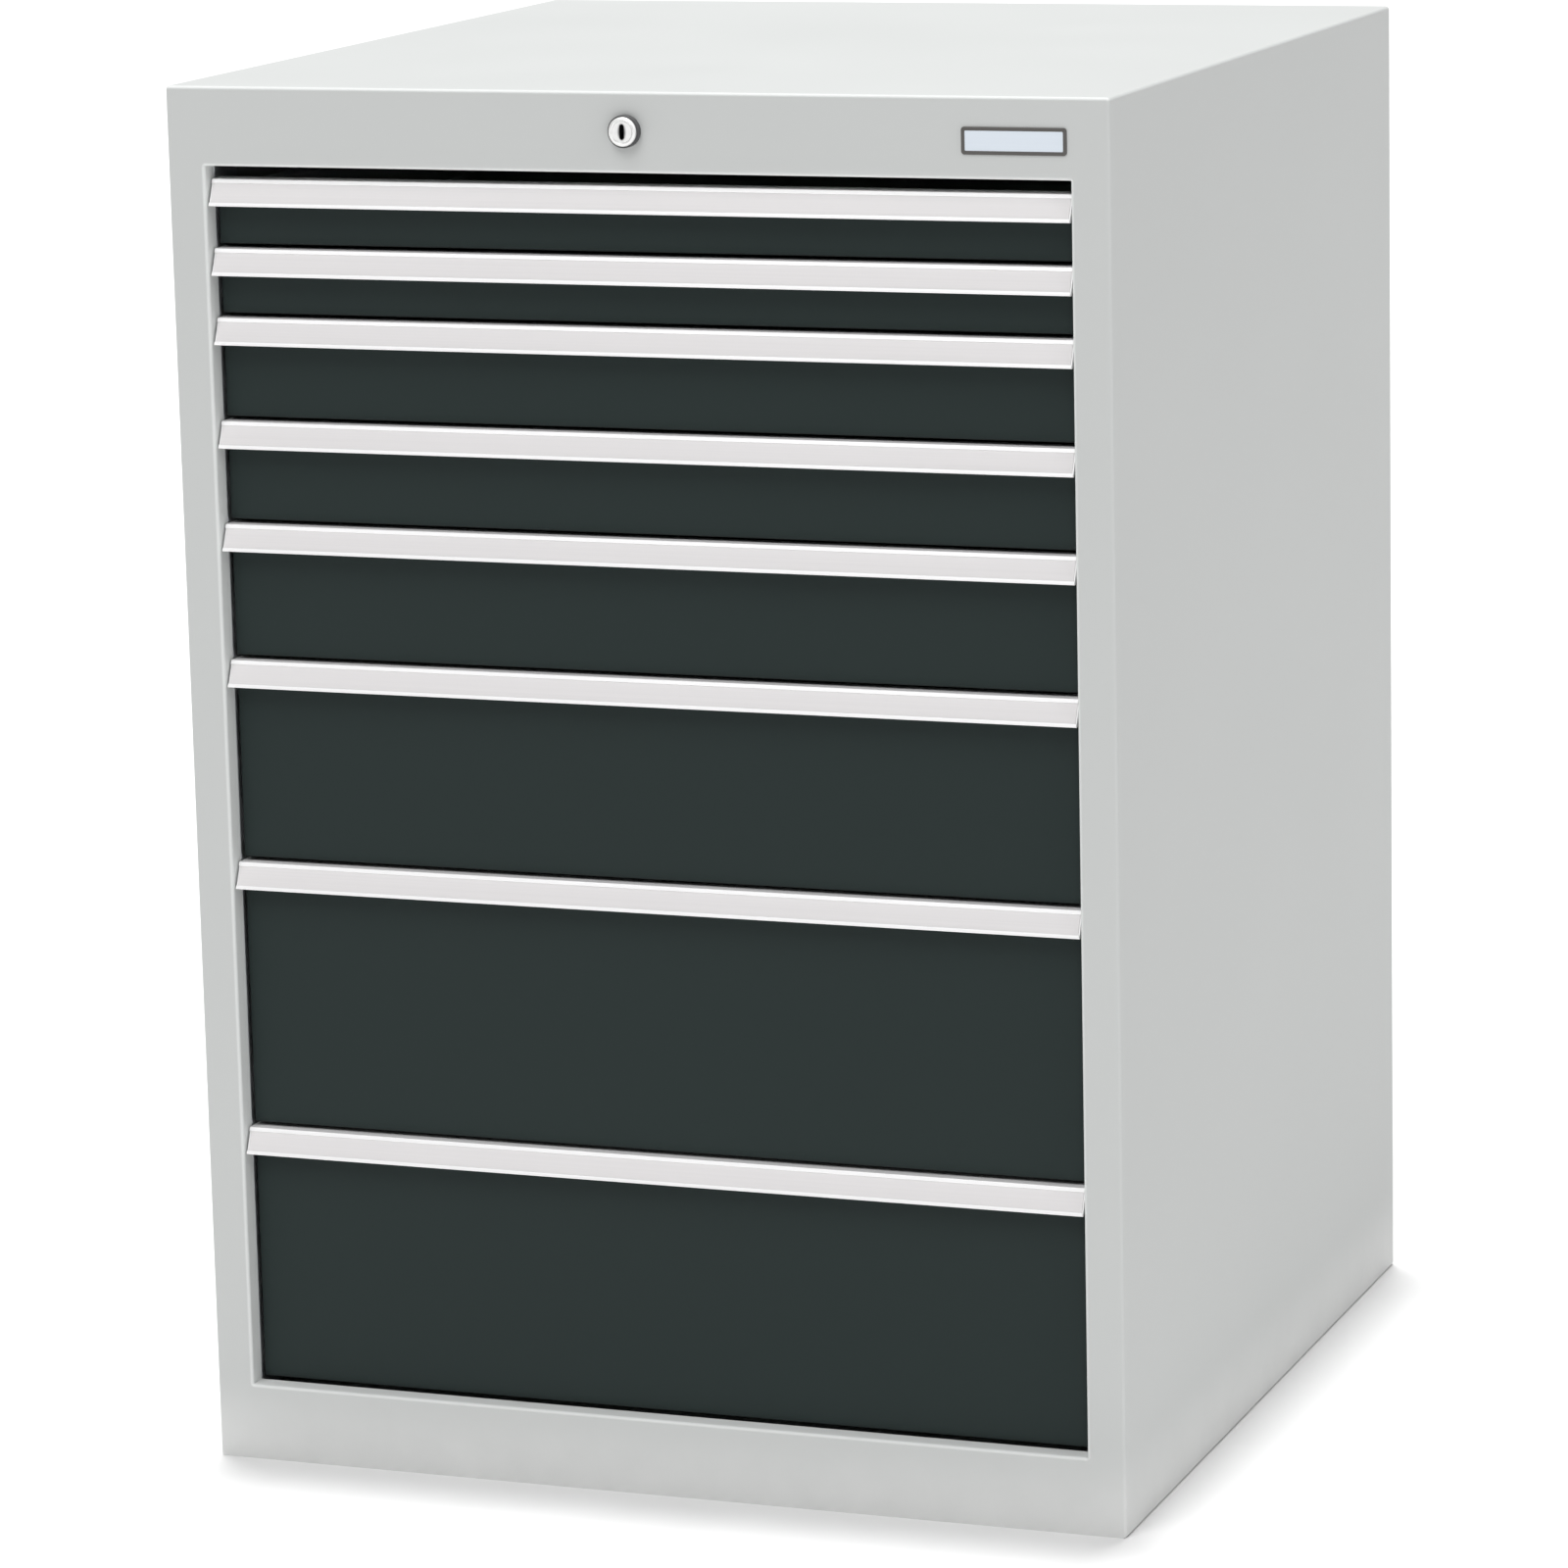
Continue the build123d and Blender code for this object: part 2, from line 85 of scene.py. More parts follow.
camera = bpy.data.objects.new("camera", bpy.data.cameras.new("camera"))
bpy.context.scene.collection.objects.link(camera)
camera.data.lens, camera.data.sensor_width = lens, sensor
camera.data.clip_start, camera.data.clip_end = 0.05, 100.0
axes = Matrix(camera_axes(yaw, pitch, roll)).transposed()
camera.matrix_world = Matrix.Translation(camera_place) @ axes.to_4x4()
bpy.context.scene.camera = camera
print("camera", round(camera.data.lens, 1), "mm lens at", [round(v, 2) for v in camera.location])

# %% [markdown]
# ## From numbers to surfaces
#
# Every new piece below is a grid: rows of points that follow one another, joined by four-sided
# faces. Numpy works out all points of a piece at once, and the faces are only sums of row and
# column numbers. Sizes are written in millimetres, as on a drawing, and become metres when the
# mesh is made.

# %% Grids and meshes
mm = 0.001


def solid_box(name):
    """Return the lowest and the highest corner of a CAD node in millimetres."""
    low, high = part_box(name)
    return np.array(low) / mm, np.array(high) / mm


def grid_faces(rows, columns, closed=False):
    """Return the faces of a grid of points that is stored row after row.

    The face at row r and column c joins points r*columns + c, its neighbour in the row, and the
    two behind them in the next row. A closed grid also joins the last column to the first."""
    width = columns if closed else columns - 1
    r, c = np.meshgrid(np.arange(rows - 1), np.arange(width), indexing="ij")
    beside = (c + 1) % columns
    row, next_row = r * columns, (r + 1) * columns
    faces = [row + c, row + beside, next_row + beside, next_row + c]
    return np.stack(faces, axis=-1).reshape(-1, 4)


def make_piece(name, body, points, faces, finishes, replaces=(), smooth=35.0):
    """Make a mesh object from points in millimetres and faces, and let it ride on a body.

    Faces that meet at less than the smooth angle, in degrees, are shaded as one surface."""
    mesh = bpy.data.meshes.new(name)
    mesh.from_pydata((np.asarray(points) * mm).tolist(), [], [list(map(int, f)) for f in faces])
    mesh.validate()
    for finish in finishes:
        mesh.materials.append(finish)
    mesh.shade_smooth()
    mesh.set_sharp_from_angle(angle=radians(smooth))
    piece = bpy.data.objects.new(name, mesh)
    bpy.context.scene.collection.objects.link(piece)
    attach(piece, body)
    if replaces:
        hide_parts(*replaces)
    return level_shading(piece)


# %% Walls and shading


def level_shading(piece):
    """Let large flat faces decide the shading at their edges, so that they look flat beside small
    folds."""
    weights = piece.modifiers.new("level shading", "WEIGHTED_NORMAL")
    weights.mode = "FACE_AREA"
    weights.keep_sharp = True
    return piece


def give_wall(piece, thickness, smooth=35.0):
    """Thicken a surface to the side away from its normals, with the same wall round every corner.

    The wall is made part of the mesh, so that the edges of its rim can be marked as sharp too."""
    wall = piece.modifiers.new("wall", "SOLIDIFY")
    wall.thickness = thickness * mm
    wall.offset = -1.0
    wall.use_even_offset = True
    shown = piece.evaluated_get(bpy.context.evaluated_depsgraph_get())
    thick = bpy.data.meshes.new_from_object(shown)
    piece.modifiers.clear()
    piece.data = thick
    thick.set_sharp_from_angle(angle=radians(smooth))
    return level_shading(piece)


# %% Paths with rounded corners


def rounded_path(corners, radii, steps=4):
    """Return a path through corners, each replaced by an arc.

    The arc touches both sides at radius / tan(half the corner's angle) from the corner, its centre
    lies at radius / sin(half the angle) from it, and its points are spaced evenly over the turn."""
    corners = np.asarray(corners, float)
    points = [corners[:1]]
    for before, corner, after, radius in zip(corners, corners[1:], corners[2:], radii):
        to_before = (before - corner) / np.linalg.norm(before - corner)
        to_after = (after - corner) / np.linalg.norm(after - corner)
        half = np.arccos(np.clip(to_before @ to_after, -1, 1)) / 2
        middle = (to_before + to_after) / np.linalg.norm(to_before + to_after)
        centre = corner + middle * radius / sin(half)
        start = corner + to_before * radius / np.tan(half) - centre
        across = corner + to_after * radius / np.tan(half) - centre
        across = across - start * (across @ start) / radius**2
        across *= radius / np.linalg.norm(across)
        turn = np.linspace(0, pi - 2 * half, steps + 1)[:, None]
        points.append(centre + start * np.cos(turn) + across * np.sin(turn))
    points.append(corners[-1:])
    return np.concatenate(points)


def closed_path(corners, radii, steps=4):
    """Return a closed outline with rounded corners. It starts and ends halfway along a side."""
    corners = np.asarray(corners, float)
    start = (corners[0] + corners[-1]) / 2
    return rounded_path(np.vstack([start, corners, start]), radii, steps)[:-1]


one_corner = rounded_path([(0, 0), (10, 0), (10, 10)], [2.0], steps=2)
print("a path round one corner:", one_corner.round(1).tolist())

# %% [markdown]
# ## Effects that several finishes share
#
# Each effect is a node group, a small machine with named knobs, so it is built once and set
# differently in each finish. The groups only put out colours, heights and roughness that change
# over the surface: everything that is the same all over is set on the shader.
#
# The small functions below are the parts of those machines. Most effects start from noise, a
# cloudy pattern whose value lies round 0.5, and let it raise and lower a colour or a roughness a
# little: value + (noise - 0.5) * amount.

# %% Parts of a node group
number, tint = "NodeSocketFloat", "NodeSocketColor"
mid_grey = (0.5, 0.5, 0.5, 1)


def new_group(title, knobs, results):
    """Make an empty node group with its knobs (name, kind, value) and results (name, kind). Return
    it with the outputs that its knobs give and the inputs that its results take."""
    group = bpy.data.node_groups.new(title, "ShaderNodeTree")
    for name, kind, value in knobs:
        socket = group.interface.new_socket(name, in_out="INPUT", socket_type=kind)
        socket.default_value = value
    for name, kind in results:
        group.interface.new_socket(name, in_out="OUTPUT", socket_type=kind)
    start, end = group.nodes.new("NodeGroupInput"), group.nodes.new("NodeGroupOutput")
    return group, start.outputs, end.inputs


def node(tree, kind, links=(), **settings):
    """Add a node, set its properties, and link or set its inputs, given as (input, source or
    value)."""
    made = tree.nodes.new(kind)
    for name, value in settings.items():
        setattr(made, name, value)
    for socket, source in links:
        if isinstance(source, bpy.types.NodeSocket):
            tree.links.new(source, made.inputs[socket])
        else:
            made.inputs[socket].default_value = source
    return made


def object_place(tree):
    """Return the place of each point, measured in its object's own coordinates."""
    return node(tree, "ShaderNodeTexCoord").outputs["Object"]


def noise(tree, place, scale, detail, roughness=0.5):
    """Return the value of a cloudy noise. Its scale is roughly its waves per metre."""
    return node(tree, "ShaderNodeTexNoise", [
        ("Vector", place), ("Scale", scale), ("Detail", detail), ("Roughness", roughness),
    ]).outputs[0]


def maths(tree, operation, first, second=0.0):
    """Return the result of a sum, a product or the like."""
    return node(tree, "ShaderNodeMath", [(0, first), (1, second)], operation=operation).outputs[0]


# %% More parts: ranges, mixtures and swings


def remapped(tree, value, low, high, at_low=0.0, at_high=1.0, way="LINEAR"):
    """Return a value that is at_low up to low, at_high from high on, and in between on the way."""
    return node(tree, "ShaderNodeMapRange", [
        ("Value", value), ("From Min", low), ("From Max", high), ("To Min", at_low),
        ("To Max", at_high),
    ], interpolation_type=way).outputs[0]


def mixed(tree, share, first, second):
    """Return the first colour with a share of the second in it."""
    return node(tree, "ShaderNodeMix", [(0, share), (6, first), (7, second)],
                data_type="RGBA").outputs[2]


def scaled(tree, colour, gain):
    """Return a colour times a gain."""
    return node(tree, "ShaderNodeVectorMath", [(0, colour), ("Scale", gain)],
                operation="SCALE").outputs[0]


def varied(tree, value, mask, amount):
    """Return value + (mask - 0.5) * amount."""
    swing = maths(tree, "MULTIPLY", maths(tree, "SUBTRACT", mask, 0.5), amount)
    return maths(tree, "ADD", swing, value)


def put_out(tree, results, **sources):
    """Lead each source to the result of its name."""
    for name, source in sources.items():
        tree.links.new(source, results[name])


print("parts ready for the node groups")

# %% [markdown]
# ### Powder paint, drawn metal and zinc
#
# Powder paint is sprayed on as dust and melts in an oven, which leaves a skin with a very fine
# wave in it, called orange peel. Aluminium strips are pressed through a die, which draws fine
# lines along them: a noise that is stretched along X. Zinc plating lies on steel in faint cloudy
# patches.

# %% Orange peel
orange_peel, knobs, results = new_group(
    "orange peel",
    [("Colour", tint, mid_grey), ("Roughness", number, 0.5), ("Wave", number, 650.0),
     ("Drift", number, 0.03)],
    [("Colour", tint), ("Roughness", number), ("Height", number)],
)
place = object_place(orange_peel)
cloud = noise(orange_peel, place, scale=5.0, detail=3.0)
wave = noise(orange_peel, place, scale=knobs["Wave"], detail=2.0, roughness=0.55)
speck = noise(orange_peel, place, scale=2600.0, detail=1.0)
gain = varied(orange_peel, 1.0, cloud, knobs["Drift"])
put_out(
    orange_peel, results,
    Colour=scaled(orange_peel, knobs["Colour"], gain),
    Roughness=varied(orange_peel, knobs["Roughness"], cloud, 0.12),
    Height=maths(orange_peel, "ADD", wave, maths(orange_peel, "MULTIPLY", speck, 0.25)),
)
print("orange peel:", len(orange_peel.nodes), "nodes")

# %% Drawn lines
drawn_lines, knobs, results = new_group(
    "drawn lines",
    [("Colour", tint, mid_grey), ("Roughness", number, 0.35), ("Drift", number, 0.05)],
    [("Colour", tint), ("Roughness", number), ("Height", number)],
)
waves_per_metre = (1.5, 900.0, 900.0)
stretched = node(drawn_lines, "ShaderNodeMapping", [
    ("Vector", object_place(drawn_lines)), ("Scale", waves_per_metre),
]).outputs[0]
lines = noise(drawn_lines, stretched, scale=1.0, detail=3.0, roughness=0.6)
gain = varied(drawn_lines, 1.0, lines, knobs["Drift"])
put_out(
    drawn_lines, results,
    Colour=scaled(drawn_lines, knobs["Colour"], gain),
    Roughness=varied(drawn_lines, knobs["Roughness"], lines, 0.25),
    Height=lines,
)
print("drawn lines:", len(drawn_lines.nodes), "nodes")

# %% Zinc cloud
zinc_cloud, knobs, results = new_group(
    "zinc cloud",
    [("Colour", tint, mid_grey), ("Roughness", number, 0.35), ("Patch", number, 90.0)],
    [("Colour", tint), ("Roughness", number), ("Height", number)],
)
place = object_place(zinc_cloud)
patch = node(zinc_cloud, "ShaderNodeTexVoronoi", [("Vector", place), ("Scale", knobs["Patch"])],
             feature="SMOOTH_F1").outputs["Distance"]
streak = noise(zinc_cloud, place, scale=240.0, detail=5.0)
blend = maths(zinc_cloud, "ADD", maths(zinc_cloud, "MULTIPLY", patch, 0.5),
              maths(zinc_cloud, "MULTIPLY", streak, 0.6))
put_out(
    zinc_cloud, results,
    Colour=scaled(zinc_cloud, knobs["Colour"], varied(zinc_cloud, 1.0, blend, 0.25)),
    Roughness=varied(zinc_cloud, knobs["Roughness"], blend, 0.3),
    Height=streak,
)
print("zinc cloud:", len(zinc_cloud.nodes), "nodes")

# %% [markdown]
# ### Wear, sheen, and painted light and shade
#
# Paint lies thin on an edge and is worn there, and the edges are also made lighter as a painted
# sheen. An edge shows itself to a shader by comparing the true normal with one that is bevelled
# over a small radius: where the two part, there is an edge. Painted light makes the paint lighter
# at the cabinet's foot, where the shadowed floor sends it less light, and painted shade darkens its
# corners. A corner is a place from which little of the surroundings can be seen.

# %% Worn edge and painted sheen
# Partly wear and partly painted sheen: the mask marks the edges that are made lighter, where paint
# lies thin and where an edge would catch the light.
wear_and_sheen_edge, knobs, results = new_group(
    "worn edge and sheen", [("Radius", number, 0.001), ("Breaks", number, 60.0)], [("Mask", number)]
)
true_normal = node(wear_and_sheen_edge, "ShaderNodeNewGeometry").outputs["Normal"]
bevelled = node(wear_and_sheen_edge, "ShaderNodeBevel", [("Radius", knobs["Radius"])], samples=4).outputs[0]
match = node(wear_and_sheen_edge, "ShaderNodeVectorMath", [(0, true_normal), (1, bevelled)],
             operation="DOT_PRODUCT").outputs["Value"]
breaks = noise(wear_and_sheen_edge, object_place(wear_and_sheen_edge), scale=knobs["Breaks"], detail=4.0)
edge = remapped(wear_and_sheen_edge, match, 0.995, 0.9)
broken = remapped(wear_and_sheen_edge, breaks, 0.35, 0.65)
put_out(wear_and_sheen_edge, results, Mask=maths(wear_and_sheen_edge, "MULTIPLY", edge, broken))
print("worn edge and sheen:", len(wear_and_sheen_edge.nodes), "nodes")

# %% Painted light at the foot
# Painted light: the colour is made lighter near the floor, where the shadowed floor gives the paint
# less light.
foot_light_paint, knobs, results = new_group(
    "painted light at the foot",
    [("Colour", tint, mid_grey), ("Painted light", tint, (0.84, 0.84, 0.83, 1)), ("Height", number, 0.07),
     ("Amount", number, 0.5)],
    [("Colour", tint)],
)
place = object_place(foot_light_paint)
above_floor = node(foot_light_paint, "ShaderNodeSeparateXYZ", [(0, place)]).outputs["Z"]
near_floor = remapped(foot_light_paint, above_floor, 0.0, knobs["Height"], 1.0, 0.0, way="SMOOTHSTEP")
light_patches = remapped(foot_light_paint, noise(foot_light_paint, place, scale=30.0, detail=4.0), 0.3, 0.7, 0.8, 1.0)
painted_foot_light = maths(foot_light_paint, "MULTIPLY", maths(foot_light_paint, "MULTIPLY", near_floor, light_patches),
              knobs["Amount"])
put_out(foot_light_paint, results, Colour=mixed(foot_light_paint, painted_foot_light, knobs["Colour"], knobs["Painted light"]))
print("painted light at the foot:", len(foot_light_paint.nodes), "nodes")

# %% Painted corner shade
# Painted shade: the colour is darkened where little of the surroundings can be seen, such as on the
# fronts under each handle.
painted_corner_shade, knobs, results = new_group(
    "painted corner shade",
    [("Colour", tint, mid_grey), ("Reach", number, 0.02), ("Amount", number, 0.6)],
    [("Colour", tint)],
)
openness = node(painted_corner_shade, "ShaderNodeAmbientOcclusion", [("Distance", knobs["Reach"])],
                samples=6).outputs["AO"]
shade_share = remapped(painted_corner_shade, openness, 0.4, 0.9, 1.0, 0.0)
gain = maths(painted_corner_shade, "SUBTRACT", 1.0,
             maths(painted_corner_shade, "MULTIPLY", shade_share, knobs["Amount"]))
put_out(painted_corner_shade, results, Colour=scaled(painted_corner_shade, knobs["Colour"], gain))
print("painted corner shade:", len(painted_corner_shade.nodes), "nodes")

# %% [markdown]
# ### Spot welds
#
# The back panel is welded to the housing's rear flange at many small spots, and each leaves a
# shallow dimple. They lie in rows up both sides and along the top, one at every pitch. The
# distance to the nearest one is a right triangle's long side: its short sides are the distance to
# the row's line and the distance, along the line, to the nearest whole pitch.

# %% Spot welds
spot_welds, knobs, results = new_group(
    "spot welds",
    [("Half width", number, 0.3425), ("Top", number, 1.009), ("Behind", number, 0.3715),
     ("Half pitch", number, 0.03), ("Size", number, 0.0045)],
    [("Height", number)],
)
flat_share = 0.55
x_y_z = node(spot_welds, "ShaderNodeSeparateXYZ", [(0, object_place(spot_welds))]).outputs


def to_weld(across, line, along):
    """Return sqrt((across - line)^2 + (distance from along to the nearest whole pitch)^2)."""
    off_line = maths(spot_welds, "SUBTRACT", across, line)
    off_spot = maths(spot_welds, "PINGPONG", along, knobs["Half pitch"])
    squares = [maths(spot_welds, "POWER", side, 2.0) for side in (off_line, off_spot)]
    return maths(spot_welds, "SQRT", maths(spot_welds, "ADD", *squares))


up_the_sides = to_weld(maths(spot_welds, "ABSOLUTE", x_y_z["X"]), knobs["Half width"], x_y_z["Z"])
along_the_top = to_weld(x_y_z["Z"], knobs["Top"], x_y_z["X"])
nearest = maths(spot_welds, "MINIMUM", up_the_sides, along_the_top)
flat_part = maths(spot_welds, "MULTIPLY", knobs["Size"], flat_share)
dimple = remapped(spot_welds, nearest, flat_part, knobs["Size"], -1.0, 0.0, way="SMOOTHSTEP")
on_back = maths(spot_welds, "GREATER_THAN", x_y_z["Y"], knobs["Behind"])
put_out(spot_welds, results, Height=maths(spot_welds, "MULTIPLY", dimple, on_back))
print("node groups:", sorted(group.name for group in bpy.data.node_groups))

# %% [markdown]
# ## The finishes
#
# One function wires a node group to a Principled shader: colour, roughness and a little bump.
# Paint is not metal, so its Metallic stays at 0. The anthracite fronts are a matt paint, so their
# mirror-like part is turned down, because a bright studio would turn them grey.
#
# Further functions take a finished material and add one layer to it. They lead the colour that
# now reaches the shader through one more effect, so layers can be laid in any number.

# %% From effects to materials


def shader_of(material):
    """Return a material's shader."""
    return material.node_tree.nodes["Principled BSDF"]


def finish(title, group, settings, bump, depth, **shader_values):
    """Make a material: a node group drives colour, roughness and a bump of some strength and
    depth in metres, and the rest is set on the shader."""
    material = bpy.data.materials.new(title)
    material.use_nodes = True
    tree, shader = material.node_tree, shader_of(material)
    effect = node(tree, "ShaderNodeGroup", settings.items(), node_tree=group).outputs
    relief = node(tree, "ShaderNodeBump", [
        ("Height", effect["Height"]), ("Strength", bump), ("Distance", depth),
    ])
    tree.links.new(effect["Colour"], shader.inputs["Base Color"])
    tree.links.new(effect["Roughness"], shader.inputs["Roughness"])
    tree.links.new(relief.outputs["Normal"], shader.inputs["Normal"])
    for name, value in shader_values.items():
        shader.inputs[name.replace("_", " ")].default_value = value
    return material


def colour_now(material):
    """Return the output that gives the shader its colour now."""
    return shader_of(material).inputs["Base Color"].links[0].from_socket


def recoloured(material, colour):
    """Give the shader its colour from another output."""
    material.node_tree.links.new(colour, shader_of(material).inputs["Base Color"])
    return material


# %% Layers on a finish


def lighten_edges_wear_and_sheen(material, colour, radius, breaks, amount):
    """Mix a lighter colour in along the edges: partly paint that lies thin or is worn, partly a
    painted sheen where an edge catches light.
    """
    tree = material.node_tree
    mask = node(tree, "ShaderNodeGroup", [("Radius", radius), ("Breaks", breaks)],
                node_tree=wear_and_sheen_edge).outputs["Mask"]
    share = maths(tree, "MULTIPLY", mask, amount)
    return recoloured(material, mixed(tree, share, colour_now(material), colour))


def paint_fold_light(material, amount):
    """Make the colour lighter by a share where the mesh's fold attribute asks for it: a painted
    highlight along the folds and painted light on the opening's inner returns. A mesh that says
    nothing stays as it is."""
    tree = material.node_tree
    fold_light_share = node(tree, "ShaderNodeAttribute", attribute_name="fold").outputs["Fac"]
    gain = maths(tree, "ADD", maths(tree, "MULTIPLY", fold_light_share, amount), 1.0)
    return recoloured(material, scaled(tree, colour_now(material), gain))


def laid_over(material, group, **settings):
    """Lead the colour through one more node group, such as painted light at the foot or painted
    shade in corners.
    """
    settings["Colour"] = colour_now(material)
    layer = node(material.node_tree, "ShaderNodeGroup", settings.items(), node_tree=group)
    return recoloured(material, layer.outputs["Colour"])


def dimpled(material, group, depth):
    """Put the heights of one more node group, of a depth in metres, under the bump that is there
    already."""
    tree = material.node_tree
    marks = node(tree, "ShaderNodeGroup", node_tree=group).outputs["Height"]
    dents = node(tree, "ShaderNodeBump", [("Height", marks), ("Distance", depth)])
    relief = shader_of(material).inputs["Normal"].links[0].from_node
    tree.links.new(dents.outputs["Normal"], relief.inputs["Normal"])
    return material


print("layers ready for the finishes")

# %% Powder paints
peel_strength, peel_depth = 0.12, 0.0002
housing_grey = finish(
    "housing grey powder coat", orange_peel,
    {"Colour": (0.547, 0.559, 0.553, 1), "Roughness": 0.5, "Wave": 650.0, "Drift": 0.02},
    peel_strength, peel_depth, Specular_IOR_Level=0.2,
)
# Painted light: a highlight on the folds, lighter inner returns at the opening, and a lighter foot
# where the shadowed floor gives less light.
paint_fold_light(housing_grey, 0.35)
laid_over(housing_grey, foot_light_paint, Height=0.07, Amount=0.55)
dimpled(housing_grey, spot_welds, depth=0.0007)

front_anthracite = finish(
    "anthracite powder coat", orange_peel,
    {"Colour": (0.018, 0.0275, 0.0265, 1), "Roughness": 0.55, "Wave": 700.0, "Drift": 0.08},
    peel_strength, peel_depth, Specular_IOR_Level=0.16,
)
# Lighter edges, partly wear and partly painted sheen, and painted shade under the handles and in
# corners.
lighten_edges_wear_and_sheen(front_anthracite, (0.07, 0.085, 0.085, 1), radius=0.0012, breaks=90.0, amount=0.35)
laid_over(front_anthracite, painted_corner_shade, Reach=0.01, Amount=0.6)

tray_grey = finish(
    "tray grey powder coat", orange_peel,
    {"Colour": (0.50, 0.515, 0.51, 1), "Roughness": 0.48, "Wave": 650.0, "Drift": 0.03},
    peel_strength, peel_depth, Specular_IOR_Level=0.4,
)
# Lighter edges: partly wear, partly painted sheen.
lighten_edges_wear_and_sheen(tray_grey, (0.62, 0.62, 0.61, 1), radius=0.0008, breaks=120.0, amount=0.4)

# Partly a black collar and partly painted shade: it stands in for the dark shade on the rosette's
# flank.
collar_black_shade = finish(
    "black collar for shade", orange_peel,
    {"Colour": (0.06, 0.06, 0.062, 1), "Roughness": 0.5, "Wave": 900.0, "Drift": 0.1},
    bump=0.1, depth=0.0001,
)
paints = (housing_grey, front_anthracite, tray_grey, collar_black_shade)
print("paints:", [paint.name for paint in paints])

# %% Metals, label cards and the name plate's two fields
handle_aluminium = finish(
    "matt anodised aluminium", drawn_lines,
    {"Colour": (0.955, 0.952, 0.955, 1), "Roughness": 0.42, "Drift": 0.05},
    bump=0.08, depth=0.00008, Metallic=0.2,
)
label_card = finish(
    "label card", drawn_lines,
    {"Colour": (0.742, 0.724, 0.728, 1), "Roughness": 0.42, "Drift": 0.09},
    bump=0.04, depth=0.00005,
)
plate_border = finish(
    "plate border", drawn_lines,
    {"Colour": (0.10, 0.095, 0.09, 1), "Roughness": 0.4, "Drift": 0.1},
    bump=0.05, depth=0.0001, Metallic=0.3,
)
plate_field = finish(
    "plate field", drawn_lines,
    {"Colour": (0.70, 0.76, 0.83, 1), "Roughness": 0.38, "Drift": 0.05},
    bump=0.06, depth=0.0001, Metallic=0.2,
)
zinc_steel = finish(
    "bright zinc", zinc_cloud,
    {"Colour": (0.62, 0.64, 0.66, 1), "Roughness": 0.36, "Patch": 90.0},
    bump=0.05, depth=0.0001, Metallic=0.85,
)
nickel = {"Colour": (0.88, 0.88, 0.87, 1), "Roughness": 0.42, "Patch": 160.0}
lock_nickel = finish("nickel", zinc_cloud, nickel, bump=0.03, depth=0.00005, Metallic=0.5)
print("finishes:", len(bpy.data.materials))

# %% The cylinder's face with its keyway and painted shade
# The colour of the painted shade in the keyway and round its mouth.
keyway_shade_dark = (0.01, 0.01, 0.01, 1)
keyway_from, oval_across, oval_up = 0.0003, 0.0034, 0.0066


def keyed_nickel(middle_x, face_y, middle_z):
    """Nickel for the cylinder's face. It is painted dark further behind the face than keyway_from,
    as painted shade inside the keyway, and an oval round the keyway's mouth gets painted shade too:
    its rim lies where (x / oval_across)^2 + (z / oval_up)^2 is 1."""
    material = finish("nickel with a keyway", zinc_cloud, nickel, bump=0.03, depth=0.00005)
    tree = material.node_tree
    place = object_place(tree)
    depth = node(tree, "ShaderNodeSeparateXYZ", [(0, place)]).outputs["Y"]
    inside = maths(tree, "GREATER_THAN", depth, face_y + keyway_from)
    centred = node(tree, "ShaderNodeVectorMath", [(0, place), (1, (middle_x, 0.0, middle_z))],
                   operation="SUBTRACT").outputs[0]
    oval = node(tree, "ShaderNodeVectorMath", [
        (0, centred), (1, (1 / oval_across, 0.0, 1 / oval_up)),
    ], operation="MULTIPLY").outputs[0]
    away = node(tree, "ShaderNodeVectorMath", [(0, oval)], operation="LENGTH").outputs["Value"]
    mouth_shade = remapped(tree, away, 0.55, 1.1, 0.85, 0.0, way="SMOOTHSTEP")
    dark = maths(tree, "MAXIMUM", inside, mouth_shade)
    recoloured(material, mixed(tree, dark, colour_now(material), keyway_shade_dark))
    # Less metal inside the keyway, so that the painted shade stays dark.
    metallic = maths(tree, "SUBTRACT", 0.5, maths(tree, "MULTIPLY", inside, 0.5))
    tree.links.new(metallic, shader_of(material).inputs["Metallic"])
    return material


cylinder_low, cylinder_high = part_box("lock_cylinder")
cylinder_nickel = keyed_nickel((cylinder_low[0] + cylinder_high[0]) / 2, cylinder_low[1],
                               (cylinder_low[2] + cylinder_high[2]) / 2)
print("keyway finish:", len(cylinder_nickel.node_tree.nodes), "nodes")

# %% Materials on the solids that keep their shape
kept = {"back_panel": housing_grey, "floor_pan": housing_grey, "lock_cylinder": cylinder_nickel}
for name in ("left_uprights", "right_uprights", "left_cabinet_rails", "right_cabinet_rails",
             "lock_nut", "lock_spindle", "lock_crank", "spindle_bearing", "lock_bar",
             "lock_bar_guides"):
    kept[name] = zinc_steel
for n in drawers:
    kept[f"drawer_{n}_front"] = front_anthracite
    kept[f"drawer_{n}_rails"] = zinc_steel
    kept[f"runner_{n}_middle_rails"] = zinc_steel
for name, material in kept.items():
    cad[name].data.materials.clear()
    cad[name].data.materials.append(material)
print("finished solids:", len(kept))

# %% [markdown]
# ## The welded housing
#
# The real housing is folded from sheets, welded and ground, so that no seam shows under the
# paint. Its outside can be thought of as a picture frame. One profile runs round the drawer
# opening: inwards along the return, round a small fold, over the front face, round the outer fold
# and back along side and top to the rear flange. Each point of that profile becomes a ring round
# the cabinet, a rectangle with rounded corners, and the rings are joined into one skin. Only the
# bottom is different: the skin stops behind the plinth there, and two flanges lie on the floor
# instead.
#
# Separate boxes with a bevel would show a seam at every corner. The rings make the corners of the
# frame run into each other as the ground welds do.

# %% Rings round the cabinet
arc_steps = 4


